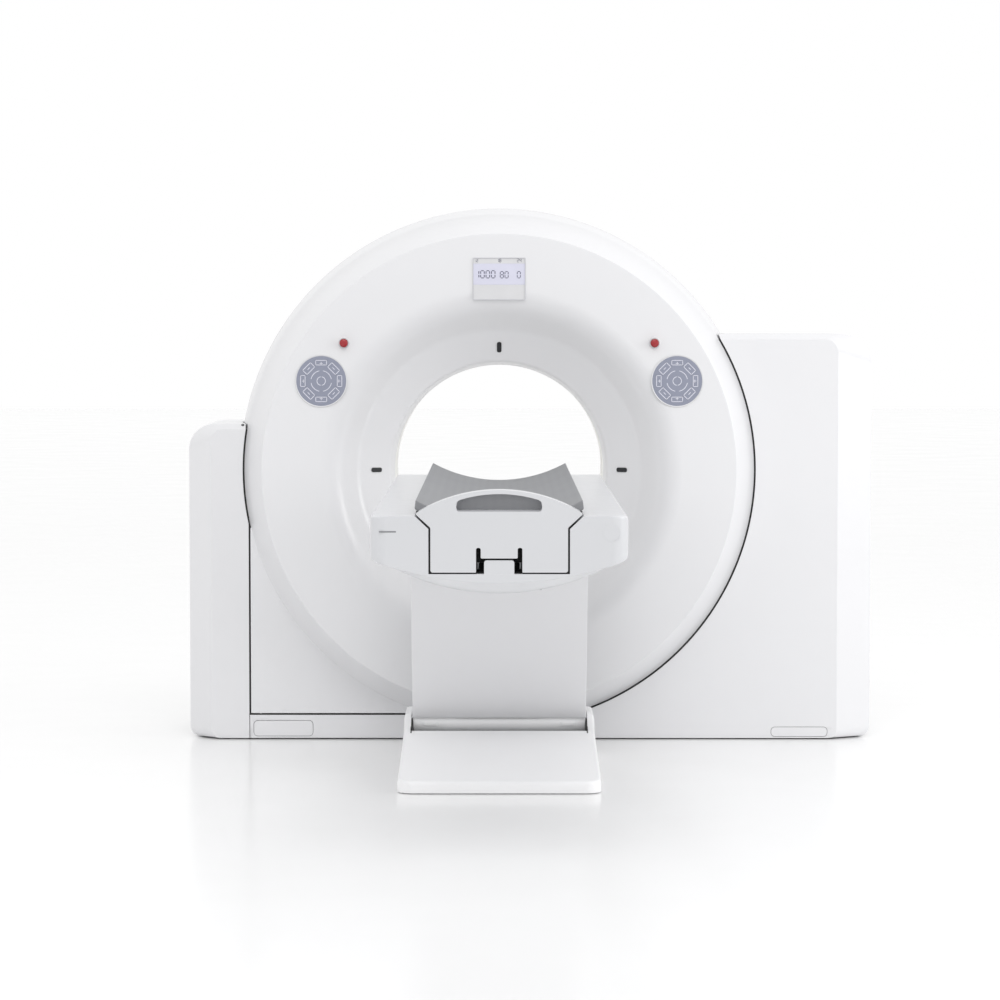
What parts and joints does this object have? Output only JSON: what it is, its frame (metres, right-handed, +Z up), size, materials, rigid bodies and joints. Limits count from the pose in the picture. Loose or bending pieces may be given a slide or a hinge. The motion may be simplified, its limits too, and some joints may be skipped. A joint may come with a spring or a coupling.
{
  "type": "ct scanner",
  "caption": "Tilting ring-shaped CT scanner gantry between two floor housings, with a sliding patient table on a leaning parallelogram lift arm.",
  "frame": {"origin": "on the floor, vertically under the isocentre, which is the centre of the bore at the gantry's mid depth", "axes": "+X to the right seen from the patient's end, +Y along the bore away from the patient table, +Z up"},
  "size_m": [2.287, 3.145, 1.778],
  "materials": {
    "housing_white": "satin moulded, painted",
    "tabletop_white": "satin moulded",
    "frame_paint": "powder coated",
    "cast_case": "cast",
    "bearing_steel": "ground",
    "rubber_black": "extruded",
    "liner_film": "film",
    "aluminium_part": "machined",
    "copper_ring": "turned",
    "dark_plastic": "moulded",
    "display_frame": "moulded",
    "display_glass": "clear",
    "keypad_film": "printed film",
    "collar_white": "moulded",
    "stop_red": "moulded",
    "carbon_cradle": "satin lacquer over carbon fibre"
  },
  "bodies": {
    "stand": {"floor_frame": "frame_paint", "left_post": "frame_paint", "right_post": "frame_paint", "tilt_bearings": "bearing_steel", "tilt_gearmotor": "cast_case", "power_unit": "cast_case", "control_rack": "cast_case", "anchor_bolts": "bearing_steel", "housing_screws": "bearing_steel", "right_access_flap": "housing_white", "left_access_flap": "housing_white", "left_front_housing": "housing_white", "left_rear_housing": "housing_white", "right_front_housing": "housing_white", "right_rear_housing": "housing_white", "plinth_front": "housing_white", "plinth_rear": "housing_white", "right_gap_trim": "rubber_black", "left_gap_trim": "rubber_black", "table_base_frame": "frame_paint", "base_pivot_shafts": "bearing_steel", "lift_gearmotor": "cast_case", "table_base_cover": "housing_white"},
    "tilt_unit": {"front_cover": "housing_white", "rear_cover": "housing_white", "gantry_frame": "frame_paint", "main_bearing": "bearing_steel", "bore_liner": "liner_film", "rotor_motor": "cast_case", "rotor_belt": "rubber_black", "brush_block": "dark_plastic", "rim_seal": "rubber_black", "display_bezel": "display_frame", "display_screen": "display_glass", "left_keypad": "keypad_film", "right_keypad": "keypad_film", "stop_collars": "collar_white", "laser_windows": "dark_plastic"},
    "rotor": {"rotor_drum": "frame_paint", "bearing_inner_ring": "bearing_steel", "slip_ring": "copper_ring", "xray_tube": "aluminium_part", "collimator": "aluminium_part", "detector_arc": "aluminium_part", "hv_generator": "cast_case", "rotor_counterweight": "bearing_steel"},
    "motor_pulley": {"motor_pulley": "aluminium_part"},
    "left_stop": {"left_stop_button": "stop_red"},
    "right_stop": {"right_stop_button": "stop_red"},
    "lift_arm": {"lift_arm": "frame_paint", "arm_cover": "housing_white"},
    "rear_link": {"rear_link": "frame_paint"},
    "table": {"table_frame": "frame_paint", "table_body": "housing_white", "guide_rails": "bearing_steel", "feed_motor": "cast_case", "table_pivot_shafts": "bearing_steel"},
    "tabletop": {"cradle": "carbon_cradle", "end_cap": "tabletop_white", "carriage": "aluminium_part"}
  },
  "joints": [
    {"name": "gantry_tilt", "type": "hinge", "parent": "stand", "child": "tilt_unit", "pos_m": [0, 0, 0.903], "axis": [1, 0, 0], "range_deg": [-30, 30]},
    {"name": "rotor_spin", "type": "hinge", "parent": "tilt_unit", "child": "rotor", "pos_m": [0, 0, 0.903], "axis": [0, 1, 0], "continuous": true},
    {"name": "motor_pulley_spin", "type": "hinge", "parent": "tilt_unit", "child": "motor_pulley", "pos_m": [-0.56, 0, 0.343], "axis": [0, 1, 0], "continuous": true},
    {"name": "left_stop_press", "type": "slide", "parent": "tilt_unit", "child": "left_stop", "axis": [0, 1, 0], "range_m": [0, 0.004], "stiffness_N_per_m": 1500},
    {"name": "right_stop_press", "type": "slide", "parent": "tilt_unit", "child": "right_stop", "axis": [0, 1, 0], "range_m": [0, 0.004], "stiffness_N_per_m": 1500},
    {"name": "table_lift", "type": "hinge", "parent": "stand", "child": "lift_arm", "pos_m": [0, -0.766, 0.124], "axis": [-1, 0, 0], "range_deg": [-47, 0]},
    {"name": "link_swing", "type": "hinge", "parent": "stand", "child": "rear_link", "pos_m": [0, -0.616, 0.124], "axis": [-1, 0, 0], "range_deg": [-47, 0]},
    {"name": "table_level", "type": "hinge", "parent": "lift_arm", "child": "table", "pos_m": [0, -1.03038, 0.71781], "axis": [-1, 0, 0], "range_deg": [0, 47]},
    {"name": "tabletop_slide", "type": "slide", "parent": "table", "child": "tabletop", "axis": [0, 1, 0], "range_m": [0, 1.53]}
  ],
  "couplings": [
    {"joint": "motor_pulley_spin", "follows": "rotor_spin", "ratio": 20.394},
    {"joint": "link_swing", "follows": "table_lift", "ratio": 1},
    {"joint": "table_level", "follows": "table_lift", "ratio": -1}
  ]
}
